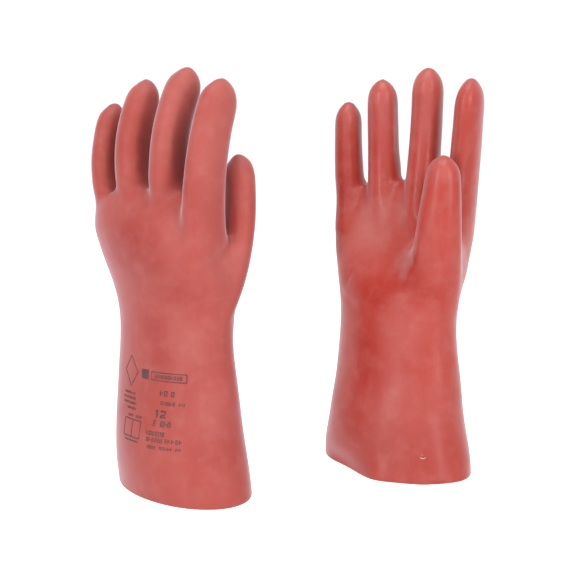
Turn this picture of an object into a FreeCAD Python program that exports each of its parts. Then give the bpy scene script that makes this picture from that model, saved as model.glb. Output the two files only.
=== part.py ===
import FreeCAD, Part
import math
import os

# A pair of long rubber insulating gloves, standing on their cuffs with the fingers up.
#
# Millimetres. World frame: +Z up, the cuffs' cut edges on Z = 0, -Y towards the viewer.
# Each glove is drawn in a hand frame of its own and then set down in the world:
#   x  towards the thumb        y  towards the palm        z  up, from the cuff's edge to the finger tips
# The right glove is the left one mirrored in y, so "hand" below is +1 for left and -1 for right.
#
# Each glove is one seamless dipped moulding of two bonded layers, a red outer one and a pale
# inner one. Both are the space between two "skins": a skin is the outer surface of the glove
# moved in by a depth, as a body loft with five finger lofts fused to it.

OUTER_LAYER = 0.8
INNER_LAYER = 1.5
INK_DEPTH = 0.12

# Body sections, from the cuff's edge to the webs of the fingers. Each is an ellipse in a level
# plane: height, centre towards the thumb, centre towards the palm, half width, half depth, twist.
SECTION_FIELDS = ("height", "to_thumb", "to_palm", "half_width", "half_depth", "twist")
LEFT_CUFF = {
    "left_cuff_edge": (0, 7, 8, 73.5, 47, -5),
    "left_cuff_foot": (12, 5.5, 7.9, 69.7, 48, -2.3),
    "left_cuff_lower": (28, 3.5, 7.8, 65.3, 48.8, 1),
    "left_cuff_flare": (45, 1.5, 8, 62, 48, 4),
    "left_cuff_upper": (68, -0.8, 8.8, 60.8, 43.4, 6.6),
}
RIGHT_CUFF = {
    "right_cuff_edge": (0, -5.5, 2, 78.5, 51, 20),
    "right_cuff_foot": (12, -4.5, 4.9, 73.7, 49.9, 12.7),
    "right_cuff_lower": (28, -3.3, 8.3, 67.9, 48.2, 4.6),
    "right_cuff_flare": (45, -2.5, 10.5, 63.5, 46, 0),
    "right_cuff_upper": (68, -2.2, 10.6, 61.1, 42, 2.5),
}
HAND = {
    "forearm": (91, -2.5, 9.5, 60, 38.5, 7.5),
    "below_wrist": (111, -3, 9.4, 57.7, 37.1, 7.5),
    "wrist": (131, -3, 9.5, 56, 37, 7),
    "above_wrist": (149, -2.6, 9.6, 56.9, 37, 7.3),
    "heel": (167, -3, 7, 59.5, 36, 6),
    "thumb_base": (184, -5, 0.4, 62.5, 33.8, 2),
    "palm": (202, -7, -7, 65.5, 30.5, 0),
    "knuckle_base": (220, -7.4, -10.7, 67.2, 26.1, 4.4),
    "knuckles": (237, -7, -11.5, 65, 19, 9),
    "webs": (254, -7, -11.5, 58, 8, 9),
}

# Fingers. A finger's centre line is a shallow parabola from its root, inside the hand, to its tip;
# its sections are ellipses square to that line: half width across the hand, half depth through it.
FINGER_FIELDS = (
    "root_to_thumb", "root_to_palm", "root_height",
    "tip_to_thumb", "tip_to_palm", "tip_height",
    "bow_to_thumb", "bow_to_palm",
    "root_half_width", "root_half_depth", "tip_half_width", "tip_half_depth", "twist",
)
FINGERS = {
    "little": (-57, -3.5, 207, -60, -3.5, 325, -5.5, -10, 13, 16.5, 11, 14, 8),
    "ring": (-20.5, 6, 210, -23.5, 3.5, 344, -7, -18, 15, 16.5, 13, 13.2, -25),
    "middle": (12.5, 8, 214, 22, 10, 354, -4.5, -17, 14.5, 19, 13.5, 15, -4),
    "index": (48, -1, 212, 61, 10.5, 346, -2, -7.5, 13, 21.5, 11.5, 18, 0),
    "thumb": (28.5, 22, 152, 48, 35, 281.5, 6, 8, 28.5, 14, 13, 12.5, -18),
}

# The ink on the back of each cuff, drawn flat: "along" runs to the reader's right from the middle
# of the cuff, "up" is the height above the cuff's edge. It is generic: plain bars stand for words,
# and a plain frame and diamond stand for marks. A stroke runs from one point to another.
#
# The drawing faces the back of the cuff, turned PRINT_LEAN degrees round it. Its bars reach in
# from a plane at PRINT_START, outside the back of the cuff, as far as PRINT_REACH.
PRINT_LEAN = 12
PRINT_START = -75
PRINT_REACH = 70
# The part of the drawing that takes ink, along and up.
PRINT_LEFT, PRINT_RIGHT = -36, 40
PRINT_FOOT, PRINT_TOP = 44, 120
OUTLINE_WEIGHT = 0.8
# Each line of words: height above the edge, letter height, and each word's start and end.
RATING_LINES = {
    "class_line": (89.6, 4.4, ((12, 20), (22.5, 26))),
    "code_line": (81.6, 2.8, ((13, 27), (30, 35.5))),
    "size_line": (73, 6, ((9.5, 13), (14.5, 20.5))),
    "grade_line": (65.3, 4.6, ((9.5, 13), (16.5, 26.5))),
    "date_line": (57.3, 3.4, ((4, 22.5),)),
    "serial_line": (52.2, 3.4, ((5, 21), (22.5, 38))),
    "limit_line": (46.2, 2.8, ((6.5, 15.5), (18.5, 31), (33, 38))),
}
PANEL_BAR = (103, 2.8, ((5.5, 31.5),))
PANEL_BLOCK = (103.5, 8, ((-8.5, -0.5),))
PANEL_FRAME = ((2.5, 99.6), (34.5, 106.4))
DIAMOND = ((-22, 116.5), (-13.5, 103.5), (-22, 90.5), (-30.5, 103.5))
SYMBOL_LINES = {
    "note_line_1": (85, 1.8, ((-30, -15),)),
    "note_line_2": (81, 1.8, ((-31, -14),)),
    "note_line_3": (77, 1.8, ((-30, -12),)),
    "note_line_4": (73, 1.8, ((-24, -12),)),
}
GRID_FRAME = ((-24, 50.5), (-3.5, 64.5))
GRID_DIVIDER = ((-13.5, 50.5), (-13.5, 64.5))
GRID_LINES = {
    "grid_head": (67.6, 1.6, ((-21, -14), (-11, -3.5))),
    "grid_foot": (47.6, 1.2, ((-22, -4),)),
}

# Where each glove stands: its hand frame's origin in the world, and how far its thumb side is
# turned towards the viewer.
STAND_FIELDS = ("stand_right", "stand_back", "turn")
STANDS = {"left": (-99.5, -35.4, 45), "right": (105.5, 29.6, 29)}
HAND_SIGN = {"left": 1, "right": -1}

doc = FreeCAD.newDocument("insulating_gloves")
dims = doc.addObject("Spreadsheet::Sheet", "Dims")


def write_dimension(alias, value):
    """One row of the sheet: the name in column A, the number in column B under that name."""
    write_dimension.row += 1
    cell = f"B{write_dimension.row}"
    dims.set(f"A{write_dimension.row}", alias)
    dims.set(cell, str(value))
    dims.setAlias(cell, alias)


write_dimension.row = 0
write_dimension("outer_layer", OUTER_LAYER)
write_dimension("inner_layer", INNER_LAYER)
write_dimension("ink_depth", INK_DEPTH)
write_dimension("print_reach", PRINT_REACH)
write_dimension("outline_weight", OUTLINE_WEIGHT)
for section, values in {**LEFT_CUFF, **RIGHT_CUFF, **HAND}.items():
    for field, value in zip(SECTION_FIELDS, values):
        write_dimension(f"{section}_{field}", value)
for finger, values in FINGERS.items():
    for field, value in zip(FINGER_FIELDS, values):
        write_dimension(f"{finger}_{field}", value)
for side, values in STANDS.items():
    for field, value in zip(STAND_FIELDS, values):
        write_dimension(f"{side}_{field}", value)
doc.recompute()


def dim(alias):
    return float(getattr(dims, alias))


# Skins: how deep each one lies under the glove's outer surface, as an expression on the sheet.
SKIN_DEPTHS = {
    "surface": "0",
    "bond": "Dims.outer_layer",
    "lining": "(Dims.outer_layer + Dims.inner_layer)",
}

SKIN_INSETS = (0, OUTER_LAYER, OUTER_LAYER + INNER_LAYER)

# Where a finger's sections lie: along its straight part, as a share of that part's length, and
# over its rounded tip, as a share of the tip's length, which is TIP_LENGTH half depths.
STRAIGHT_SHARES = (0, 0.2, 0.4, 0.6, 0.8, 0.9, 1)
DOME_SHARES = (0.3, 0.5, 0.7, 0.85, 0.95)
TIP_LENGTH = 1.25

# A face that rises less than this is a skin's flat foot.
FLAT = 1e-6


def ellipse(name, major, minor, placement):
    """An ellipse whose two radii are expressions on the sheet."""
    section = doc.addObject("Part::Ellipse", name)
    section.setExpression("MajorRadius", major)
    section.setExpression("MinorRadius", minor)
    section.Placement = placement
    return section


def loft(name, sections):
    """A closed solid drawn smoothly through the sections."""
    solid = doc.addObject("Part::Loft", name)
    solid.Sections = sections
    solid.Solid = True
    return solid


def body_loft(side, skin, depth, names):
    """The cuff, wrist and hand of one glove, without its fingers."""
    hand = HAND_SIGN[side]
    sections = []
    for name in names:
        centre = FreeCAD.Vector(dim(f"{name}_to_thumb"), hand * dim(f"{name}_to_palm"), 0)
        turn = FreeCAD.Rotation(FreeCAD.Vector(0, 0, 1), hand * dim(f"{name}_twist"))
        section = ellipse(
            f"{side}_{skin}_{name}",
            f"Dims.{name}_half_width - {depth}",
            f"Dims.{name}_half_depth - {depth}",
            FreeCAD.Placement(centre, turn),
        )
        drop = f" - {depth}" if name == "webs" else ""
        section.setExpression("Placement.Base.z", f"Dims.{name}_height{drop}")
        sections.append(section)
    return loft(f"{side}_{skin}_body", sections)


def finger_loft(side, skin, depth, finger, inset):
    """One finger, from its root inside the hand to its rounded tip."""
    hand = HAND_SIGN[side]
    size = {field: dim(f"{finger}_{field}") for field in FINGER_FIELDS}
    root = FreeCAD.Vector(size["root_to_thumb"], hand * size["root_to_palm"], size["root_height"])
    tip = FreeCAD.Vector(size["tip_to_thumb"], hand * size["tip_to_palm"], size["tip_height"])
    bow = FreeCAD.Vector(size["bow_to_thumb"], hand * size["bow_to_palm"], 0)
    across = math.radians(hand * size["twist"])
    across = FreeCAD.Vector(math.cos(across), math.sin(across), 0)
    dome = TIP_LENGTH * size["tip_half_depth"]
    length = (tip - root).Length
    dome_start = 1 - dome / length
    stations = [(share * dome_start, 1) for share in STRAIGHT_SHARES]
    for share in DOME_SHARES:
        stations.append((dome_start + share * (dome - inset) / length, math.sqrt(1 - share * share)))
    wide = size["root_half_width"] > size["root_half_depth"]
    sections = []
    for number, (along, taper) in enumerate(stations):
        centre = root + (tip - root) * along + bow * (4 * along * (1 - along))
        direction = ((tip - root) + bow * (4 * (1 - 2 * along))).normalize()
        width_axis = (across - direction * across.dot(direction)).normalize()
        depth_axis = direction.cross(width_axis)
        radius = {
            axis: f"(Dims.{finger}_root_{axis} + {along:.4f} * (Dims.{finger}_tip_{axis}"
            f" - Dims.{finger}_root_{axis}) - {depth}) * {taper:.4f}"
            for axis in ("half_width", "half_depth")
        }
        if wide:
            major, minor = radius["half_width"], radius["half_depth"]
            turn = FreeCAD.Rotation(width_axis, depth_axis, direction, "ZXY")
        else:
            major, minor = radius["half_depth"], radius["half_width"]
            turn = FreeCAD.Rotation(depth_axis, width_axis * -1, direction, "ZXY")
        name = f"{side}_{skin}_{finger}_{number}"
        sections.append(ellipse(name, major, minor, FreeCAD.Placement(centre, turn)))
    return loft(f"{side}_{skin}_{finger}", sections)


def skin_fuse(side, skin, depth, inset, names):
    """The whole glove, hand and fingers, as one solid whose surface lies at this depth."""
    skin_solid = doc.addObject("Part::MultiFuse", f"{side}_{skin}_skin")
    fingers = [finger_loft(side, skin, depth, finger, inset) for finger in FINGERS]
    skin_solid.Shapes = [body_loft(side, skin, depth, names), *fingers]
    return skin_solid


def layer(name, outside, inside):
    """One layer of the glove: the space between two skins, open at the cuff's edge.

    The skins never meet, so the layer's surface is the walls of both and the flat rim that
    joins their feet on Z = 0.
    """
    feet, walls = [], []
    for skin in (outside.Shape.Solids[0], inside.Shape.Solids[0]):
        feet.append(next(face for face in skin.Faces if face.BoundBox.ZMax < FLAT))
        walls.append([face for face in skin.Faces if face.BoundBox.ZMax >= FLAT])
    rim = Part.Face([foot.OuterWire for foot in feet])
    if rim.normalAt(0, 0).z > 0:
        rim = rim.reversed()
    lining = [face.reversed() for face in walls[1]]
    piece = doc.addObject("Part::Feature", name)
    piece.Shape = Part.makeSolid(Part.makeShell([*walls[0], *lining, rim]))
    return piece


def word_strokes(lines):
    """Each word of some lines, as a bar: its two ends and its letter height."""
    return [
        ((start, up), (end, up), height) for up, height, words in lines for start, end in words
    ]


def outline_strokes(corners):
    """The sides of a closed outline, which stop short of each other at its corners."""
    return [
        open_stroke(corner, following)
        for corner, following in zip(corners, (*corners[1:], corners[0]))
    ]


def open_stroke(start, end):
    """A thin line from one point to another, shorter at each end by its own weight."""
    run = (end[0] - start[0], end[1] - start[1])
    trim = OUTLINE_WEIGHT / math.hypot(*run)
    return (
        (start[0] + trim * run[0], start[1] + trim * run[1]),
        (end[0] - trim * run[0], end[1] - trim * run[1]),
        OUTLINE_WEIGHT,
    )


def rectangle(low, high):
    return (low, (high[0], low[1]), high, (low[0], high[1]))


def facing(side):
    """Turns the flat drawing of the ink to face the back of a glove's cuff."""
    turn = PRINT_LEAN if side == "left" else PRINT_LEAN + 180
    return FreeCAD.Placement(FreeCAD.Vector(), FreeCAD.Rotation(FreeCAD.Vector(0, 0, 1), turn))


def ink_sheet(side, names):
    """One film of ink over the whole printed part of the cuff's back."""
    region = doc.addObject("Part::Box", f"{side}_ink_region")
    region.Length = PRINT_RIGHT - PRINT_LEFT
    region.Height = PRINT_TOP - PRINT_FOOT
    region.setExpression("Width", "Dims.print_reach")
    corner = FreeCAD.Placement(
        FreeCAD.Vector(PRINT_LEFT, PRINT_START, PRINT_FOOT), FreeCAD.Rotation()
    )
    region.Placement = facing(side).multiply(corner)
    film_top = doc.addObject("Part::Common", f"{side}_ink_top")
    film_top.Base = region
    film_top.Tool = body_loft(side, "ink", "-Dims.ink_depth", names)
    sheet = doc.addObject("Part::Cut", f"{side}_ink_sheet")
    sheet.Base = film_top
    sheet.Tool = doc.getObject(f"{side}_surface_body")
    return sheet


def ink_film(side, name, strokes, sheet):
    """Strokes of ink on the back of the cuff: the part of each bar that lies in the sheet."""
    bars = []
    for number, (start, end, weight) in enumerate(strokes):
        run = FreeCAD.Vector(end[0] - start[0], 0, end[1] - start[1])
        slope = FreeCAD.Rotation(FreeCAD.Vector(0, 1, 0), -math.degrees(math.atan2(run.z, run.x)))
        corner = FreeCAD.Vector(start[0], PRINT_START, start[1])
        corner += slope.multVec(FreeCAD.Vector(0, 0, -weight / 2))
        bar = doc.addObject("Part::Box", f"{side}_{name}_bar_{number}")
        bar.Length = run.Length
        bar.Height = weight
        bar.setExpression("Width", "Dims.print_reach")
        bar.Placement = facing(side).multiply(FreeCAD.Placement(corner, slope))
        bars.append(bar)
    stamp = doc.addObject("Part::Compound", f"{side}_{name}_bars")
    stamp.Links = bars
    film = doc.addObject("Part::Common", f"{side}_{name}")
    film.Base = sheet
    film.Tool = stamp
    return film


def prints(side, sheet):
    """The four stamps on one cuff."""
    stamps = {
        "panel_print": word_strokes([PANEL_BAR, PANEL_BLOCK])
        + outline_strokes(rectangle(*PANEL_FRAME)),
        "rating_print": word_strokes(RATING_LINES.values()),
        "symbol_print": outline_strokes(DIAMOND) + word_strokes(SYMBOL_LINES.values()),
        "date_grid_print": outline_strokes(rectangle(*GRID_FRAME))
        + [open_stroke(*GRID_DIVIDER)]
        + word_strokes(GRID_LINES.values()),
    }
    return [ink_film(side, name, strokes, sheet) for name, strokes in stamps.items()]


def glove(side, cuff):
    """Every piece of one glove, in its hand frame."""
    names = [*cuff, *HAND]
    skins = {
        skin: skin_fuse(side, skin, depth, inset, names)
        for (skin, depth), inset in zip(SKIN_DEPTHS.items(), SKIN_INSETS)
    }
    doc.recompute()
    return [
        layer(f"{side}_outer_layer", skins["surface"], skins["bond"]),
        layer(f"{side}_inner_layer", skins["bond"], skins["lining"]),
        *prints(side, ink_sheet(side, names)),
    ]


def stand(side, piece):
    """Sets a piece down in the world: the thumb side turned towards the viewer."""
    place = FreeCAD.Vector(dim(f"{side}_stand_right"), dim(f"{side}_stand_back"), 0)
    # The left glove shows its back and the right one its palm, so both thumbs point to +X.
    turn = FreeCAD.Rotation(FreeCAD.Vector(0, 0, 1), -dim(f"{side}_turn"))
    piece.Placement = FreeCAD.Placement(place, turn)


pieces = []
for side, cuff in (("left", LEFT_CUFF), ("right", RIGHT_CUFF)):
    for piece in glove(side, cuff):
        stand(side, piece)
        pieces.append(piece)
    doc.recompute()

for item in doc.Objects:
    if {"Invalid", "Error"} & set(item.State):
        raise RuntimeError(f"{item.Name} did not recompute: {item.State}")
os.makedirs("parts", exist_ok=True)
for piece in pieces:
    piece.Label = piece.Name
    if piece.Shape.isNull() or not piece.Shape.isValid() or not piece.Shape.Solids:
        raise RuntimeError(f"{piece.Label} has no valid shape")
    box = piece.Shape.BoundBox
    print(
        f"{piece.Label}: {len(piece.Shape.Solids)} solids, {piece.Shape.Volume:.1f} mm3,"
        f" X {box.XMin:.1f} to {box.XMax:.1f}, Y {box.YMin:.1f} to {box.YMax:.1f},"
        f" Z {box.ZMin:.1f} to {box.ZMax:.1f}"
    )
    piece.Shape.exportStep(f"parts/{piece.Label}.step")
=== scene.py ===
import math
import random

import bpy
import numpy as np
import openvdb as vdb
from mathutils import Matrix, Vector
from mathutils.bvhtree import BVHTree


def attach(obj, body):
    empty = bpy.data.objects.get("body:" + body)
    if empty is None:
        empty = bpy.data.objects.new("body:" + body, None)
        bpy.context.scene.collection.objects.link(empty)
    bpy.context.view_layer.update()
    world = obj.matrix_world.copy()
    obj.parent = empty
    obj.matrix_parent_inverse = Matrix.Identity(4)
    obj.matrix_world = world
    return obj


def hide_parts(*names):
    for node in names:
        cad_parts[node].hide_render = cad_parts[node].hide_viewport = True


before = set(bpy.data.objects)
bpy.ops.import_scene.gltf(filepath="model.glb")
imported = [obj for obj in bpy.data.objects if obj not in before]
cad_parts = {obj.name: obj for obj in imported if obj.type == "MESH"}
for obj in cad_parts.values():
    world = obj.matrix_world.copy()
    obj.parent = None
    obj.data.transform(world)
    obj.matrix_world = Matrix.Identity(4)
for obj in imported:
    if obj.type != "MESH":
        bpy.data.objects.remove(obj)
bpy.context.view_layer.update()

# Each glove is shaped in its own hand frame, in millimetres: x towards the thumb, y towards the
# palm, z up. STANDS says where that frame stands in the row frame, as the CAD part has it:
# side: (x, y, turn in degrees, +1 for the left hand and -1 for its mirror image)
STANDS = {"left": (-99.5, -35.4, 45, 1), "right": (105.5, 29.6, 29, -1)}
MM = 0.001

VOXEL = 2.1          # spacing of the grid that the rubber skin is meshed on
MARGIN = 8           # how far that grid reaches past the glove
OUTER_LAYER = 0.8    # red layer
INNER_LAYER = 1.5    # natural layer
UNDERGROUND = 12.0   # how far the skin is carried below the floor before it is trimmed
ON_FLOOR = 0.2       # CAD triangles lower than this are the cut edge of the cuff
TRIM = 0.35          # quads whose lowest corner is under this share of a grid step are trimmed
LIP_HEIGHT = 0.7     # rounding of the cuff's cut edge
LIP_DEPTH = 0.35
SKIN_TURNS = 3       # relaxing of the meshed skin
DEPTH_TURNS = 4      # and of the depths measured on it

# How the clefts of the plain CAD wall are filled. A pair of numbers says where a soft edge starts
# and where it is full, in the hand frame.
WEB_FILL = 5.0                   # radius that the webs between the fingers are filled to
WEB_TOP = 258
WEB_HUMP = (4, -5, 12)           # webs higher in the middle: height, centre and reach across
WEB_DROP = (8, (-36, -28))       # and lower beside the little finger
WEB_EDGE = (-4, 8)
THUMB_SIDE = (30, 44)            # no webs are filled beside the thumb, on the palm side
THUMB_FRONT = (2, 10)
THUMB_END = (285, 295)
THUMB_FILL = 26.0                # radius that the fork between thumb and palm is filled to
FORK_ACROSS = (-10, 12)
FORK_UP = (110, 150)
FORK_TOP = 189
FORK_RISE = (22, (36, 54))       # the fork is filled higher on the thumb's outer side
FORK_EDGE = (-12, 12)
CLEFT_MIDDLE = -46.5             # the cleft beside the little finger
CLEFT_BOTTOM = 254
CLEFT_TOP = 268
CLEFT_RADIUS = 4.3
EDGE_FILL = 0.9                  # the smooth edge of the hand: how far it is raised
EDGE_BLUR = 6
EDGE_ACROSS = (-66, -54)
EDGE_UP = (212, 230)
EDGE_END = (262, 280)
PALM_FILL = 1.2                  # the same for the smooth palm
PALM_BLUR = 16
PALM_FRONT = (0, 10)
PALM_ACROSS = (-66, -48)
PALM_THUMB = (22, 36)
PALM_UP = (178, 192)
PALM_END = (218, 252)

# Finger tips in the hand frame
TIPS = {
    "little": (-60.5, -4.5, 325),
    "ring": (-24.5, 1.5, 344.5),
    "middle": (21.5, 7.5, 354),
    "index": (60.5, 9, 346),
    "thumb": (48, 35.5, 281.5),
}

TIP_POINT = (1.15, 4.5)      # the point of each tip: height and reach
TIP_NECK = (0.15, 8, 4)      # the narrower ring round it: depth, distance from the tip and reach
TIP_BACK = (0.9, 9, 7)       # the same on the back of the finger
THUMB_STRETCH = {"left": 3.5, "right": 1.5}
STRETCHED = ((22, 28), (22, 27), (225, 285))    # the thumb's own part, across, deep and up

# Folds on the palm side: two ends, how far the fold reaches and how high it stands (below 0 is a
# groove). They are the taut web beside the thumb and the crease under the heel of the hand.
PALM_FOLDS = (
    ((27, 44, 214), (4, 31, 188), 3.0, 1.2),
    ((24, 38, 217), (-2, 24, 194), 3.5, -1.1),
    ((30, 46, 205), (20, 44, 168), 5.0, 0.8),
    ((14, 42, 196), (8, 42, 170), 4.5, -0.7),
    ((-52, 22, 159), (-26, 41, 146), 3.6, -1.0),
    ((-40, 33, 172), (-12, 42, 158), 9.0, 1.1),
)
# Broad swellings of the palm side: centre, reach along x, y and z, and height.
PALM_SWELLS = (
    ((-26, 2, 300), (14, 24, 34), 3.0),
    ((-14, 22, 214), (24, 40, 26), -3.0),
)
# The same all round.
SWELLS = (
    ((-48, 20, 176), (14, 16, 16), 1.4),
    ((40, 40, 186), (16, 14, 26), 1.0),
    ((-50, -24, 257), (12, 14, 14), 1.0),
    ((-17, -24, 263), (12, 14, 14), 2.0),
    ((14, -20, 263), (12, 14, 14), 1.6),
    ((58, 9, 188), (12, 12, 20), 2.2),
    ((-62, -18, 236), (16, 18, 15), -2.2),
)
# The same on one cuff only: the right cuff's lower edge is wavy.
CUFF_SWELLS = {
    "left": (),
    "right": (
        ((-45, 42, 0), (24, 30, 16), -4.5),
        ((0, 52, 0), (18, 30, 18), 5.0),
        ((58, 40, 0), (16, 24, 16), -2.5),
    ),
}
# A small curved nick on the palm side of the right cuff, coloured pale as a painted highlight: two
# ends and a weight for each run, as across and up.
NICK = (
    ((37.4, 23.4), (38.6, 22.5), 0.6),
    ((38.4, 22.6), (40.4, 22.3), 0.8),
    ((40.2, 22.3), (41.8, 23.0), 0.6),
    ((38.6, 25.6), (39.2, 25.2), 0.4),
)
NICK_DEPTH = 0.3

# Tone of the rubber. A cleft is painted in shade from the first of these depths and fully so at the
# second.
CLEFT_DEPTH = {"left": (2.2, 6.0), "right": (4, 11)}
CLEFT_SIDES = (0.9, (0.35, 0.85))      # less shade on faces that look to the palm or the back
WEB_LIGHT = (0.6, 256, 10)             # and round the webs' height: share, height and reach
TIP_LIGHT = (0.75, (290, 330))         # and towards the finger tips
# The finger tips are painted paler, as painted light from above, as far round them as this, and this
# much.
TIP_REACH = (14, 18, 18)
TIP_PAINTED_LIGHT = 0.65
# Soft-edged patches: centre, reach along x, y and z, and strength.
# Darker patches: partly the rubber's own mottling, partly painted shade, as at the bottoms of the
# gaps between the fingers on the palm side.
DEEP_AND_SHADED_SPOTS = {
    "left": (
        ((22, -33, 199), (13, 20, 12), 0.85),
        ((2, -37, 216), (12, 20, 11), 0.9),
        ((-8, -37, 222), (12, 20, 10), 0.5),
        ((11, -25, 143), (13, 20, 16), 0.75),
        ((20, -23, 118), (14, 20, 13), 0.85),
        ((33, -22, 175), (14, 20, 10), 0.6),
        ((46, -14, 262), (10, 20, 30), 0.5),
        ((44, 2, 100), (9, 26, 36), 0.5),
        ((-2, -30, 88), (30, 22, 22), 0.4),
        ((-10, -34, 206), (30, 20, 22), 0.5),
        ((22, -35, 219), (12, 16, 10), 0.7),
    ),
    "right": (
        ((-1, 45, 160), (30, 18, 17), 0.8),
        ((-16, 46, 92), (13, 22, 40), 0.75),
        ((-62, 9, 205), (7, 18, 40), 0.75),
        ((-44, 28, 172), (9, 14, 16), 0.6),
        ((28, 47, 190), (8, 14, 26), 0.75),
        ((26, 43, 108), (12, 20, 14), 0.4),
        ((48, 30, 175), (12, 20, 24), 0.35),
        ((56, 12, 275), (12, 24, 48), 0.5),
        ((-58, 4, 262), (14, 24, 34), 0.3),
        ((-42, 14, 250), (9, 12, 7), 0.55),
        ((0, 20, 254), (10, 12, 7), 0.55),
    ),
}
# Paler patches: partly the rubber's own mottling, partly painted light: lit faces, painted highlight
# streaks on the fingers and painted sheen along the edges.
PALE_AND_LIT_SPOTS = {
    "left": (
        ((36, -27, 226), (14, 24, 16), 0.35),
        ((58, 10, 200), (12, 20, 20), 0.3),
        ((40, -15, 130), (14, 20, 26), 0.45),
        ((50, -6, 78), (14, 24, 28), 0.4),
        ((60, 0, 300), (18, 24, 40), 0.35),
        ((22, -8, 325), (16, 24, 30), 0.4),
    ),
    "right": (
        ((-31, 14, 214), (22, 24, 26), 0.9),
        ((-4, 14, 226), (18, 22, 18), 0.4),
        ((-52, 6, 310), (9, 16, 14), 0.4),
        ((-22, 8, 318), (11, 16, 18), 0.4),
        ((14, 38, 203), (10, 14, 13), 0.65),
        ((22, 45, 130), (16, 20, 22), 0.35),
        ((20, 42, 70), (26, 24, 24), 0.25),
        ((56, 4, 200), (8, 18, 24), 0.6),
        ((54, 2, 148), (12, 18, 32), 0.6),
        ((20, 16, 310), (12, 20, 36), 0.35),
    ),
}
# The cuffs are duller lower down.
DULL_SPOTS = {
    "left": (((-30, -30, 40), (40, 60, 50), 0.75),),
    "right": (((0, 40, 25), (60, 60, 62), 0.9),),
}

# The ink on the back of each cuff, drawn flat as the CAD part has it: "along" runs to the reader's
# right, "up" is the height above the floor. All marks are generic.
PRINT_LEAN = 12      # degrees that the stamped face is turned from the hand's back
RAY_START = -75      # rays that lay ink on the skin start this far behind the hand's middle
BAR_STEP = 1.2       # longest step between points of a bar
OUTLINE = 0.8
INK_PROUD = 0.12
INK_SUNK = 0.05
LETTER_PITCH = 0.85  # of letter-like marks, as a share of their height
LETTER_WIDTH = 0.72  # as a share of their pitch
LETTER_WEIGHT = 0.2  # as a share of their height
DICE_SEED = 12
WORDS = {
    "rating_print": (
        (89.6, 4.4, ((12, 20), (22.5, 26))),
        (81.6, 2.8, ((13, 27), (30, 35.5))),
        (65.3, 4.6, ((9.5, 13), (16.5, 26.5))),
        (57.3, 3.4, ((4, 22.5),)),
        (52.2, 3.4, ((5, 21), (22.5, 38))),
        (46.2, 2.8, ((6.5, 15.5), (18.5, 31), (33, 38))),
    ),
    "panel_print": ((103, 3.2, ((5.5, 31.5),)),),
    "symbol_print": (
        (85, 1.8, ((-30, -15),)),
        (81, 1.8, ((-31, -14),)),
        (77, 1.8, ((-30, -12),)),
        (73, 1.8, ((-24, -12),)),
    ),
    "date_grid_print": (
        (67.6, 1.6, ((-21, -14), (-11, -3.5))),
        (47.6, 1.2, ((-22, -4),)),
    ),
}
PANEL_FRAME = ((2.5, 99.6), (34.5, 99.6), (34.5, 106.4), (2.5, 106.4))
DIAMOND = ((-22, 116.5), (-13.5, 103.5), (-22, 90.5), (-30.5, 103.5))
GRID_FRAME = ((-24, 50.5), (-3.5, 50.5), (-3.5, 64.5), (-24, 64.5))
OUTLINES = {
    "panel_print": (PANEL_FRAME,),
    "symbol_print": (DIAMOND,),
    "date_grid_print": (GRID_FRAME,),
}
STROKES = {
    "panel_print": (((-8.5, 103.5), (-0.5, 103.5), 8),),
    "date_grid_print": (((-13.5, 50.9), (-13.5, 64.1), 0.8),),
    # The hand size, 12
    "rating_print": (
        ((11.8, 70), (11.8, 76), 1.4),
        ((10.2, 74.4), (11.8, 76), 1.1),
        ((14.8, 75.3), (19.0, 75.3), 1.4),
        ((19.4, 75.8), (19.4, 73), 1.4),
        ((19.4, 73.4), (15.2, 71), 1.4),
        ((14.8, 70.7), (20, 70.7), 1.4),
    ),
}
# Letter-like marks that spell nothing, in a cell one unit wide and high
GLYPHS = (
    (((0, 0.1), (1, 0.1)), ((0, 0.5), (1, 0.5)), ((0, 0.9), (1, 0.9))),
    (((0.15, 0), (0.15, 1)), ((0.85, 0), (0.85, 1))),
    (((0, 0.1), (1, 0.1)), ((0, 0.9), (1, 0.9)), ((0.1, 0.2), (0.1, 0.8)), ((0.9, 0.2), (0.9, 0.8))),
    (((0.1, 0), (0.1, 1)), ((0.3, 0.5), (1, 0.5))),
)


def to_hand(points, side):
    """Row-frame metres to a glove's hand frame in millimetres."""
    x0, y0, turn, hand = STANDS[side]
    c, s = math.cos(math.radians(turn)), math.sin(math.radians(turn))
    x, y = points[:, 0] / MM - x0, points[:, 1] / MM - y0
    return np.stack([x * c - y * s, hand * (x * s + y * c), points[:, 2] / MM], 1)


def to_row(points, side):
    """A glove's hand frame in millimetres to row-frame metres."""
    x0, y0, turn, hand = STANDS[side]
    c, s = math.cos(math.radians(turn)), math.sin(math.radians(turn))
    x, y = points[:, 0], points[:, 1] * hand
    return np.stack([x0 + x * c + y * s, y0 - x * s + y * c, points[:, 2]], 1) * MM


def open_edges(faces):
    """The edges that only one face has, each from one point number to the next."""
    corners = faces.shape[1]
    edges = np.concatenate([faces[:, [k, (k + 1) % corners]] for k in range(corners)])
    _, index, count = np.unique(np.sort(edges, 1), axis=0, return_index=True, return_counts=True)
    return edges[index[count == 1]]


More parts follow.
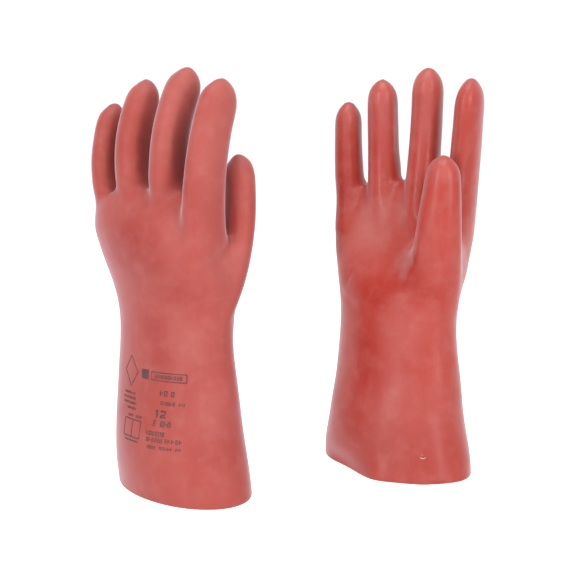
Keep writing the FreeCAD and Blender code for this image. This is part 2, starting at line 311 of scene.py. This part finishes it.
def outside_wall(side):
    """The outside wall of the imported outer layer, carried below the floor and closed there.

    Gives its points and triangles in the hand frame.
    """
    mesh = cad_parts[f"{side}_outer_layer"].data
    corners = np.empty(len(mesh.vertices) * 3, np.float32)
    mesh.vertices.foreach_get("co", corners)
    mesh.calc_loop_triangles()
    triangles = np.empty(len(mesh.loop_triangles) * 3, np.int64)
    mesh.loop_triangles.foreach_get("vertices", triangles)
    points = to_hand(corners.reshape(-1, 3).astype(float), side)
    _, first, merged = np.unique(
        np.round(points, 2), axis=0, return_index=True, return_inverse=True
    )
    points, triangles = points[first], merged.reshape(-1)[triangles].reshape(-1, 3)
    distinct = (
        (triangles[:, 0] != triangles[:, 1])
        & (triangles[:, 1] != triangles[:, 2])
        & (triangles[:, 2] != triangles[:, 0])
    )
    on_floor = (points[triangles, 2] < ON_FLOOR).all(1)
    triangles = triangles[distinct & ~on_floor]
    # Points that hang together get the same group number. The outside wall is the highest group.
    group, before = np.arange(len(points)), None
    while before is None or (group != before).any():
        lowest = group[triangles].min(1)
        before = group.copy()
        for corner in range(3):
            np.minimum.at(group, triangles[:, corner], lowest)
        group = group[group]
    top = group[triangles[points[triangles, 2].max(1).argmax(), 0]]
    triangles = triangles[group[triangles[:, 0]] == top]
    rim = open_edges(triangles)
    loop = np.unique(rim)
    below = np.full(len(points), -1)
    below[loop] = len(points) + np.arange(len(loop))
    lowered = points[loop] * (1, 1, 0) - (0, 0, UNDERGROUND)
    centre = len(points) + len(loop)
    points = np.concatenate([points, lowered, [lowered.mean(0)]])
    a, b = rim[:, 0], rim[:, 1]
    skirt = np.concatenate([
        np.stack([b, a, below[a]], 1),
        np.stack([b, below[a], below[b]], 1),
        np.stack([below[b], below[a], np.full(len(a), centre)], 1),
    ])
    return points, np.concatenate([triangles, skirt])


def level_set(points, faces, reach):
    """A signed distance grid of a closed mesh, right to reach millimetres either side of it."""
    three = faces if faces.shape[1] == 3 else np.empty((0, 3))
    four = faces if faces.shape[1] == 4 else np.empty((0, 4))
    return vdb.FloatGrid.createLevelSetFromPolygons(
        points.astype(np.float32),
        triangles=three.astype(np.uint32),
        quads=four.astype(np.uint32),
        transform=vdb.createLinearTransform(VOXEL),
        halfWidth=reach / VOXEL + 2,
    )


def dense(grid, corner, shape):
    """The values of a grid as an array of that shape, from that corner on."""
    values = np.empty(shape, np.float32)
    grid.copyToArray(values, ijk=corner)
    return values


def step(values, start, end):
    """0 before start, 1 after end, smooth between."""
    t = np.clip((values - start) / (end - start), 0, 1)
    return t * t * (3 - 2 * t)


def within(values, start, end):
    """1 from the start pair on and 0 again after the end pair, with soft edges."""
    return step(values, *start) * (1 - step(values, *end))


def bell(values, middle, reach):
    return np.exp(-(((values - middle) / reach) ** 2))


def blur(values, turns=1):
    for _ in range(turns):
        for axis in range(3):
            near = np.roll(values, 1, axis) + np.roll(values, -1, axis)
            far = np.roll(values, 2, axis) + np.roll(values, -2, axis)
            values = (6 * values + 4 * near + far) / 16
    return values


def filled(source, radius, corner, shape):
    """Distances to the body once a ball of that radius no longer fits into its clefts."""
    points, quads = source.convertToQuads(isovalue=radius)
    return dense(level_set(points, quads, radius), corner, shape) + radius


def rounded_body(side):
    """The CAD outside wall with the webs between the fingers filled and softened.

    Gives its points, its quads, and how far each point lies down in a cleft of the hand.
    """
    points, triangles = outside_wall(side)
    source = level_set(points, triangles, THUMB_FILL)
    corner = tuple(int(v) for v in np.floor((points.min(0) - MARGIN) / VOXEL))
    last = np.ceil((points.max(0) + MARGIN) / VOXEL)
    shape = tuple(int(v) for v in last - corner + 1)
    x, y, z = ((corner[axis] + np.arange(shape[axis])) * VOXEL for axis in range(3))
    across, deep, up = x[:, None, None], y[None, :, None], z[None, None, :]
    body = dense(source, corner, shape)
    webs = filled(source, WEB_FILL, corner, shape)
    fork = filled(source, THUMB_FILL, corner, shape)
    hump, drop = WEB_HUMP[0] * bell(across, *WEB_HUMP[1:]), WEB_DROP[0]
    web_top = WEB_TOP + hump - drop * (1 - step(across, *WEB_DROP[1]))
    beside_thumb = step(across, *THUMB_SIDE) * step(deep, *THUMB_FRONT)
    beside_thumb = beside_thumb * (1 - step(up, *THUMB_END))
    web_share = (1 - beside_thumb) * (1 - step(up - web_top, *WEB_EDGE))
    body = body + web_share * (webs - body)
    fork_top = FORK_TOP + FORK_RISE[0] * step(across, *FORK_RISE[1])
    fork_share = step(across, *FORK_ACROSS) * step(up, *FORK_UP)
    fork_share = fork_share * (1 - step(up - fork_top, *FORK_EDGE))
    body = body + fork_share * (fork - body)
    # The cleft beside the little finger reaches lower than the others.
    cleft = np.hypot(across - CLEFT_MIDDLE, np.minimum(up - CLEFT_BOTTOM, 0)) - CLEFT_RADIUS
    body = blur(np.where(up < CLEFT_TOP, np.maximum(body, -cleft), body))
    # The edge of the hand is drawn smooth where the little finger starts.
    smooth = blur(body, EDGE_BLUR)
    edge = (1 - step(across, *EDGE_ACROSS)) * within(up, EDGE_UP, EDGE_END)
    body = body + edge * (smooth - EDGE_FILL - body)
    # The palm is drawn smooth from the webs down, up to the foot of the thumb.
    smooth = blur(smooth, PALM_BLUR - EDGE_BLUR)
    palm = step(deep, *PALM_FRONT) * within(across, PALM_ACROSS, PALM_THUMB)
    palm = palm * within(up, PALM_UP, PALM_END)
    body = body + palm * (smooth - PALM_FILL - body)
    body = body.astype(np.float32)
    grid = vdb.FloatGrid(float(WEB_FILL))
    grid.copyFromArray(body, ijk=corner)
    grid.transform = vdb.createLinearTransform(VOXEL)
    points, quads = grid.convertToQuads(isovalue=0.0)
    place = np.round(points / VOXEL - corner).astype(int)
    depth = -fork[place[:, 0], place[:, 1], place[:, 2]]
    return points.astype(float), quads.astype(np.int64), depth.astype(float)


def face_normals(points, quads):
    a = points[quads[:, 2]] - points[quads[:, 0]]
    b = points[quads[:, 3]] - points[quads[:, 1]]
    return np.cross(a, b)


def normals_of(points, quads):
    each = face_normals(points, quads)
    total = np.zeros_like(points)
    for corner in range(quads.shape[1]):
        for axis in range(3):
            total[:, axis] += np.bincount(quads[:, corner], each[:, axis], len(points))
    return total / np.maximum(np.linalg.norm(total, axis=1), 1e-12)[:, None]


def relax(values, quads, turns, share=0.5):
    """Each point moves a share of the way to the middle of its neighbours, so many times."""
    ends = np.concatenate([quads[:, [k, (k + 1) % 4]] for k in range(4)])
    ends = np.concatenate([ends, ends[:, ::-1]])
    count = np.bincount(ends[:, 0], minlength=len(values)).clip(1)
    for _ in range(turns):
        near = [np.bincount(ends[:, 0], column[ends[:, 1]], len(values)) for column in values.T]
        values = values + share * (np.stack(near, 1) / count[:, None] - values)
    return values


def hill(points, centre, reach):
    """A smooth bump of height 1 at centre, that fades over reach millimetres along x, y and z."""
    return np.exp(-(((points - centre) / reach) ** 2).sum(1))


def fold(points, start, end, reach):
    """A smooth ridge of height 1 from start to end, that fades over reach millimetres."""
    start, end = np.array(start, float), np.array(end, float)
    run = end - start
    share = np.clip(((points - start) @ run) / (run @ run), 0, 1)
    apart = np.linalg.norm(points - start - share[:, None] * run, axis=1)
    return np.exp(-((apart / reach) ** 2)) * (1 - (2 * share - 1) ** 4)


def shaped(points, quads, side):
    """Finger tips, palm, thumb and cuff of a dipped glove, moved out of the plain lofted body."""
    normals = normals_of(points, quads)
    back = step(-normals[:, 1], 0, 0.7)
    front = step(normals[:, 1], 0.1, 0.6)
    rise = np.zeros(len(points))
    for tip in TIPS.values():
        near = np.linalg.norm(points - tip, axis=1)
        rise += TIP_POINT[0] * bell(near, 0, TIP_POINT[1]) - TIP_NECK[0] * bell(near, *TIP_NECK[1:])
        rise -= TIP_BACK[0] * back * bell(near, *TIP_BACK[1:])
    for centre, reach, height in PALM_SWELLS:
        rise += height * front * hill(points, centre, reach)
    for start, end, reach, height in PALM_FOLDS:
        rise += height * front * fold(points, start, end, reach)
    for centre, reach, height in SWELLS + CUFF_SWELLS[side]:
        rise += height * hill(points, centre, reach)
    points = points + normals * rise[:, None]
    across, deep, up = (step(points[:, axis], *STRETCHED[axis]) for axis in range(3))
    points[:, 2] += THUMB_STRETCH[side] * across * deep * up
    return points


def trimmed(points, quads):
    """The part of the skin that lies above the floor, without the quads that reach down to it."""
    quads = quads[points[quads, 2].min(1) > TRIM * VOXEL]
    used, quads = np.unique(quads, return_inverse=True)
    return points[used], quads.reshape(-1, 4)


def rim_loop(quads):
    """The open edge of a mesh as a ring of point numbers, in order."""
    after = {int(a): int(b) for a, b in open_edges(quads)}
    ring = [next(iter(after))]
    while after[ring[-1]] != ring[0]:
        ring.append(after[ring[-1]])
    return np.array(ring)


def skin(side):
    """The outside surface of a glove in the hand frame, drawn down to the floor.

    Gives its points, its quads, the ring of points on the floor, and each point's depth in a cleft.
    """
    points, quads, depth = rounded_body(side)
    middle = points.mean(0)
    flux = (face_normals(points, quads) * (points[quads].mean(1) - middle)).sum()
    if flux < 0:
        quads = quads[:, ::-1]
    points = relax(points, quads, SKIN_TURNS)
    depth = relax(depth[:, None], quads, DEPTH_TURNS)
    points = shaped(points, quads, side)
    points, quads = trimmed(np.hstack([points, depth]), quads)
    points, depth = points[:, :3], points[:, 3]
    ring = rim_loop(quads)
    foot = points[ring] * (1, 1, 0)
    lip = foot + (0, 0, LIP_HEIGHT)
    first = len(points)
    number = np.arange(len(ring))
    after = np.roll(number, -1)
    rows = [ring, first + number, first + len(ring) + number]
    band = [
        np.stack([rows[k][after], rows[k], rows[k + 1], rows[k + 1][after]], 1) for k in range(2)
    ]
    depth = np.concatenate([depth, np.zeros(2 * len(ring))])
    return np.concatenate([points, lip, foot]), np.concatenate([quads, *band]), rows[2], depth


def solid(points, quads, ring, outside, inside, normals):
    """A closed layer between two depths below the skin, with both edges of its rim rounded."""
    outer = points - normals * outside
    inner = points - normals * inside
    outer[ring] -= normals[ring] * LIP_DEPTH * (outside == 0)
    count = len(points)
    after = np.roll(ring, -1)
    rim = np.stack([after, ring, ring + count, after + count], 1)
    return np.concatenate([outer, inner]), np.concatenate([quads, quads[:, ::-1] + count, rim])


def mesh_object(name, points, faces, side):
    """A smooth-shaded object from points in the hand frame. A mirrored hand turns its faces."""
    mesh = bpy.data.meshes.new(name)
    located = to_row(points, side)
    if STANDS[side][3] < 0:
        faces = faces[:, ::-1]
    mesh.from_pydata(located.tolist(), [], faces.tolist())
    mesh.validate()
    mesh.shade_smooth()
    piece = bpy.data.objects.new(name, mesh)
    bpy.context.scene.collection.objects.link(piece)
    return piece


def painted(piece, name, values):
    """Stores a value for each point, which the material reads by that name."""
    layer = piece.data.attributes.new(name, "FLOAT", "POINT")
    layer.data.foreach_set("value", values.astype(np.float32))


def patches(points, spots):
    """How strongly some soft-edged spots cover each point, from 0 to 1."""
    cover = np.ones(len(points))
    for centre, reach, strength in spots:
        cover *= 1 - strength * hill(points, centre, reach)
    return 1 - cover


def new_material(name):
    material = bpy.data.materials.new(name)
    material.use_nodes = True
    nodes, links = material.node_tree.nodes, material.node_tree.links
    return material, nodes, links, nodes["Principled BSDF"]


def noise(nodes, links, scale, detail=4, stretch=(1, 1, 1)):
    place = nodes.new("ShaderNodeTexCoord")
    mapping = nodes.new("ShaderNodeMapping")
    mapping.inputs["Scale"].default_value = stretch
    texture = nodes.new("ShaderNodeTexNoise")
    texture.inputs["Scale"].default_value = scale
    texture.inputs["Detail"].default_value = detail
    links.new(place.outputs["Object"], mapping.inputs["Vector"])
    links.new(mapping.outputs["Vector"], texture.inputs["Vector"])
    return texture.outputs["Fac"]


def ramp(nodes, links, source, stops):
    node = nodes.new("ShaderNodeValToRGB")
    elements = node.color_ramp.elements
    while len(elements) < len(stops):
        elements.new(0.5)
    for element, (position, colour) in zip(elements, stops):
        element.position = position
        element.color = (*colour, 1)
    links.new(source, node.inputs["Fac"])
    return node.outputs["Color"]


def mixed(nodes, links, share, first, second):
    node = nodes.new("ShaderNodeMix")
    node.data_type = "RGBA"
    sockets = (node.inputs["Factor"], node.inputs[6], node.inputs[7])
    for socket, value in zip(sockets, (share, first, second)):
        if isinstance(value, bpy.types.NodeSocket):
            links.new(value, socket)
        else:
            socket.default_value = value if isinstance(value, float) else (*value, 1)
    return node.outputs[2]


def attribute(nodes, name):
    node = nodes.new("ShaderNodeAttribute")
    node.attribute_name = name
    return node.outputs["Fac"]


def maths(nodes, links, operation, *values):
    node = nodes.new("ShaderNodeMath")
    node.operation = operation
    node.use_clamp = True
    for socket, value in zip(node.inputs, values):
        if isinstance(value, bpy.types.NodeSocket):
            links.new(value, socket)
        else:
            socket.default_value = value
    return node.outputs[0]


def greys(low, high, dark=0, light=1):
    """Two stops of a ramp, dark up to low and light from high on."""
    return [(low, (dark,) * 3), (high, (light,) * 3)]


def surfaced(nodes, links, shader, smoothest, roughest, strength):
    """Gives a shader roughness that varies and a fine orange-peel surface."""
    rough = ramp(nodes, links, noise(nodes, links, 60, 4), greys(0.3, 0.7, smoothest, roughest))
    links.new(rough, shader.inputs["Roughness"])
    bump = nodes.new("ShaderNodeBump")
    bump.inputs["Strength"].default_value = strength
    bump.inputs["Distance"].default_value = 0.2 * MM
    coarse, fine = noise(nodes, links, 260, 3), noise(nodes, links, 1100, 2)
    peel = maths(nodes, links, "MULTIPLY_ADD", coarse, 0.6, fine)
    links.new(peel, bump.inputs["Height"])
    links.new(bump.outputs["Normal"], shader.inputs["Normal"])


def rubber(name, mid, deep, pale, dull, cleft, smoothest, roughest, sheen):
    """Dipped latex: mottled red with darker patches that are partly painted shade, paler patches that
    are partly painted light, painted shade in the clefts between the fingers, a pale sheen and a fine
    orange-peel surface.
    """
    material, nodes, links, shader = new_material(name)
    broad = ramp(nodes, links, noise(nodes, links, 22, 4), greys(0.42, 0.68))
    small = ramp(nodes, links, noise(nodes, links, 80, 6), greys(0.45, 0.75))
    streak = ramp(nodes, links, noise(nodes, links, 300, 3, (1, 1, 0.06)), greys(0.55, 0.8))
    # The deep and pale masks carry mottling and also painted shade and painted light.
    dark = maths(nodes, links, "MULTIPLY_ADD", broad, 0.4, attribute(nodes, "deep"))
    light = maths(nodes, links, "MULTIPLY_ADD", small, 0.34, attribute(nodes, "pale"))
    light = maths(nodes, links, "MULTIPLY_ADD", streak, 0.1, light)
    base = mixed(nodes, links, dark, mid, deep)
    base = mixed(nodes, links, attribute(nodes, "dull"), base, dull)
    base = mixed(nodes, links, light, base, pale)
    # Painted shade in the clefts between the fingers.
    shade = maths(nodes, links, "MULTIPLY", attribute(nodes, "cleft"), 0.92)
    base = mixed(nodes, links, shade, base, cleft)
    links.new(base, shader.inputs["Base Color"])
    surfaced(nodes, links, shader, smoothest, roughest, 0.15)
    shader.inputs["Specular IOR Level"].default_value = 0.35
    shader.inputs["Sheen Weight"].default_value = sheen
    shader.inputs["Sheen Roughness"].default_value = 0.38
    shader.inputs["Sheen Tint"].default_value = (1, 0.84, 0.96, 1)
    return material


def plain(name, colour, roughness):
    """One colour, faintly mottled, on a slightly uneven surface."""
    material, nodes, links, shader = new_material(name)
    tone = ramp(
        nodes, links, noise(nodes, links, 160, 5),
        [(0.3, tuple(0.8 * v for v in colour)), (0.7, colour)],
    )
    links.new(tone, shader.inputs["Base Color"])
    surfaced(nodes, links, shader, roughness - 0.05, roughness + 0.08, 0.3)
    return material


def glyph_strokes(up, height, words, dice):
    """Words as rows of letter-like marks: strokes as two ends and a weight."""
    strokes = []
    for start, end in words:
        count = max(1, round((end - start) / (LETTER_PITCH * height)))
        pitch = (end - start) / count
        for number in range(count):
            left, wide = start + number * pitch, LETTER_WIDTH * pitch
            for a, b in GLYPHS[dice.randrange(len(GLYPHS))]:
                strokes.append((
                    (left + wide * a[0], up + height * (a[1] - 0.5)),
                    (left + wide * b[0], up + height * (b[1] - 0.5)),
                    LETTER_WEIGHT * height,
                ))
    return strokes


def ink_strokes(name, dice):
    """Every stroke of one print: its own strokes, its outlines and its words."""
    strokes = list(STROKES.get(name, ()))
    for outline in OUTLINES.get(name, ()):
        for corner, after in zip(outline, outline[1:] + outline[:1]):
            strokes.append((corner, after, OUTLINE))
    for up, height, words in WORDS[name]:
        strokes += glyph_strokes(up, height, words, dice)
    return strokes


def laid(strokes, surface, along, inward, proud, sunk):
    """Strokes drawn on the skin as seen along inward: thin closed bars that follow it."""
    points, faces = [], []
    for start, end, weight in strokes:
        start, end = np.array(start, float), np.array(end, float)
        run = end - start
        length = np.linalg.norm(run)
        square = np.array([-run[1], run[0]]) / length * weight / 2
        steps = max(1, math.ceil(length / BAR_STEP))
        rows = max(1, math.ceil(weight / BAR_STEP))
        first = len(points)
        under = []
        for i in range(steps + 1):
            for j in range(rows + 1):
                flat = start + run * i / steps + square * (2 * j / rows - 1)
                origin = along * flat[0] + inward * RAY_START + np.array([0, 0, flat[1]])
                place, normal, _, _ = surface.ray_cast(Vector(origin), Vector(inward))
                points.append(place + normal * proud)
                under.append(place - normal * sunk)
        count = (steps + 1) * (rows + 1)
        points += under
        at = lambda i, j: first + i * (rows + 1) + j
        for i in range(steps):
            for j in range(rows):
                top = [at(i, j), at(i + 1, j), at(i + 1, j + 1), at(i, j + 1)]
                faces.append(top)
                faces.append([v + count for v in reversed(top)])
            for j, turn in ((0, 1), (rows, -1)):
                side_face = [at(i, j), at(i, j) + count, at(i + 1, j) + count, at(i + 1, j)]
                faces.append(side_face[::turn])
        for j in range(rows):
            for i, turn in ((0, -1), (steps, 1)):
                end_face = [at(i, j), at(i, j) + count, at(i, j + 1) + count, at(i, j + 1)]
                faces.append(end_face[::turn])
    faces = np.array(faces)
    if np.cross(along, inward)[2] > 0:
        faces = faces[:, ::-1]
    return np.array([list(p) for p in points]), faces


def print_directions(side):
    """The reader's right and the direction of view, for the print on the back of the cuff."""
    hand = STANDS[side][3]
    lean = math.radians(PRINT_LEAN)
    along = np.array([hand * math.cos(lean), math.sin(lean), 0])
    return along, np.array([-hand * math.sin(lean), math.cos(lean), 0])


def faded_ink():
    """Stamped ink, thin in places so that the red shows through."""
    material, nodes, links, shader = new_material("faded_ink")
    tone = ramp(
        nodes, links, noise(nodes, links, 420, 5),
        [(0.35, (0.055, 0.03, 0.032)), (0.55, (0.11, 0.04, 0.04)), (0.8, (0.26, 0.07, 0.06))],
    )
    links.new(tone, shader.inputs["Base Color"])
    surfaced(nodes, links, shader, 0.52, 0.68, 0.15)
    return material


INK = faded_ink()
RUBBER = {
    "left": rubber(
        "left_rubber",
        mid=(0.385, 0.06, 0.047),
        deep=(0.33, 0.034, 0.026),
        pale=(0.45, 0.12, 0.105),
        dull=(0.345, 0.062, 0.051),
        cleft=(0.075, 0.007, 0.006),
        smoothest=0.46,
        roughest=0.56,
        sheen=0.75,
    ),
    "right": rubber(
        "right_rubber",
        mid=(0.41, 0.049, 0.036),
        deep=(0.35, 0.022, 0.012),
        pale=(0.47, 0.12, 0.105),
        dull=(0.35, 0.052, 0.042),
        cleft=(0.22, 0.008, 0.004),
        smoothest=0.28,
        roughest=0.36,
        sheen=0.48,
    ),
}
LINING = plain("lining_rubber", (0.68, 0.46, 0.28), 0.55)


def placed(piece, material, side):
    """Gives a piece its material and slot, and lets it ride on its glove."""
    piece.data.materials.append(material)
    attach(piece, f"{side}_glove")


def cleft_shade(points, normals, depth, side):
    """How strongly each point is painted in shade for lying between two fingers, from 0 to 1."""
    sideways = 1 - CLEFT_SIDES[0] * step(abs(normals[:, 1]), *CLEFT_SIDES[1])
    height = points[:, 2]
    webs = 1 - WEB_LIGHT[0] * bell(height, *WEB_LIGHT[1:])
    tips = 1 - TIP_LIGHT[0] * step(height, *TIP_LIGHT[1])
    return step(depth, *CLEFT_DEPTH[side]) * sideways * (webs * tips)


for side in STANDS:
    points, quads, ring, depth = skin(side)
    normals = normals_of(points, quads)
    # Close to the floor the wall is level through its thickness, so that its foot stays on the floor.
    flat = normals.copy()
    flat[points[:, 2] < 2 * VOXEL] *= (1, 1, 0)
    flat /= np.linalg.norm(flat, axis=1)[:, None]
    bond, lining = OUTER_LAYER, OUTER_LAYER + INNER_LAYER

    shell = solid(points, quads, ring, 0, bond, flat)
    outer = mesh_object(f"{side}_outer_rubber", *shell, side)
    doubled = np.concatenate([points, points])
    shade = cleft_shade(points, normals, depth, side)
    # Painted light from above on the finger tips.
    tips = tuple((tip, TIP_REACH, TIP_PAINTED_LIGHT) for tip in TIPS.values())
    # Tone masks: deep is mottling and painted shade, dull the duller lower cuff, cleft painted shade
    # between the fingers, pale mottling and painted light.
    painted(outer, "deep", patches(doubled, DEEP_AND_SHADED_SPOTS[side]))
    painted(outer, "dull", patches(doubled, DULL_SPOTS[side]))
    painted(outer, "cleft", np.concatenate([shade, shade]))
    painted(outer, "pale", patches(doubled, PALE_AND_LIT_SPOTS[side] + tips))
    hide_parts(f"{side}_outer_layer")
    placed(outer, RUBBER[side], side)

    shell = solid(points, quads, ring, bond, lining, flat)
    inner = mesh_object(f"{side}_lining_rubber", *shell, side)
    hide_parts(f"{side}_inner_layer")
    placed(inner, LINING, side)

    surface = BVHTree.FromPolygons(points.tolist(), quads.tolist())
    dice = random.Random(DICE_SEED)
    for name in WORDS:
        strokes = ink_strokes(name, dice)
        bars = laid(strokes, surface, *print_directions(side), INK_PROUD, INK_SUNK)
        marks = mesh_object(f"{side}_{name}_ink", *bars, side)
        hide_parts(f"{side}_{name}")
        placed(marks, INK, side)

    if side == "right":
        from_palm = np.array([1, 0, 0]), np.array([0, -1, 0])
        scar = laid(NICK, surface, *from_palm, NICK_DEPTH, NICK_DEPTH)
        nick = mesh_object("right_cuff_nick", *scar, side)
        # The nick is coloured pale as a painted highlight on its lip.
        placed(nick, plain("nick_painted_highlight", (0.75, 0.42, 0.4), 0.45), side)

# The floor and the room glow brighter for the camera than for other rays, so that the background is
# white and the cuffs are lit less from below. In metres from here on.
FLOOR_REACH = 4
FLOOR_DROP = 0.0005
FLOOR_GLOW, FLOOR_GLOW_SEEN = 0.25, 0.5
ROOM_LIGHT, BACKDROP = 0.4, 1.05
WHITE = (1, 1, 1, 1)

floor_mesh = bpy.data.meshes.new("floor")
corners = [(FLOOR_REACH * x, FLOOR_REACH * y, 0) for x, y in ((-1, -1), (1, -1), (1, 1), (-1, 1))]
floor_mesh.from_pydata(corners, [], [(0, 1, 2, 3)])
floor = bpy.data.objects.new("floor", floor_mesh)
floor.location.z = -FLOOR_DROP
bpy.context.scene.collection.objects.link(floor)
floor_paint, nodes, links, shader = new_material("floor_paint")
shader.inputs["Base Color"].default_value = (0.92, 0.92, 0.92, 1)
shader.inputs["Roughness"].default_value = 0.9
shader.inputs["Emission Color"].default_value = WHITE
seen = nodes.new("ShaderNodeLightPath").outputs["Is Camera Ray"]
glow = maths(nodes, links, "MULTIPLY_ADD", seen, FLOOR_GLOW_SEEN, FLOOR_GLOW)
links.new(glow, shader.inputs["Emission Strength"])
floor.data.materials.append(floor_paint)

world = bpy.data.worlds.new("studio")
world.use_nodes = True
nodes, links = world.node_tree.nodes, world.node_tree.links
backdrop, room = nodes["Background"], nodes.new("ShaderNodeBackground")
for background, strength in ((backdrop, BACKDROP), (room, ROOM_LIGHT)):
    background.inputs["Color"].default_value = WHITE
    background.inputs["Strength"].default_value = strength
choice, rays = nodes.new("ShaderNodeMixShader"), nodes.new("ShaderNodeLightPath")
links.new(rays.outputs["Is Camera Ray"], choice.inputs["Fac"])
links.new(room.outputs[0], choice.inputs[1])
links.new(backdrop.outputs[0], choice.inputs[2])
links.new(choice.outputs[0], nodes["World Output"].inputs["Surface"])
bpy.context.scene.world = world
bpy.context.scene.view_settings.view_transform = "Standard"

# Soft lights that aim at the middle of the pair: name, place, width, height and watts
MIDDLE = (0, 0, 0.18)
SOFTBOXES = (
    ("left_softbox", (-1.0, -1.3, 0.45), 0.22, 1.5, 9),
    ("right_softbox", (1.0, -1.3, 0.45), 0.22, 1.5, 9),
    ("front_softbox", (0.1, -1.7, 0.75), 1.5, 0.9, 5),
    ("top_softbox", (0, -0.6, 1.7), 1.2, 1.2, 15),
    ("rear_left_softbox", (-1.3, 0.7, 0.5), 1.2, 1.5, 3.5),
    ("rear_right_softbox", (1.3, 0.7, 0.5), 1.2, 1.5, 3.5),
    ("rear_softbox", (0, 1.6, 0.6), 1.8, 1.2, 4),
)
CAMERA_PLACE = (0.0005, -1.0374, 0.345)
CAMERA_AIM = (0.0005, 0.0226, 0.1625)


def set_down(name, data, place, aim):
    """Adds a light or camera that looks from place to aim."""
    thing = bpy.data.objects.new(name, data)
    thing.location = place
    thing.rotation_euler = (Vector(aim) - Vector(place)).to_track_quat("-Z", "Y").to_euler()
    bpy.context.scene.collection.objects.link(thing)
    return thing


for name, place, width, height, watts in SOFTBOXES:
    light = bpy.data.lights.new(name, "AREA")
    light.shape = "RECTANGLE"
    light.size, light.size_y = width, height
    light.energy = watts
    set_down(name, light, place, MIDDLE)

lens = bpy.data.cameras.new("camera")
lens.lens = 75.7
lens.sensor_width = 36
bpy.context.scene.camera = set_down("camera", lens, CAMERA_PLACE, CAMERA_AIM)
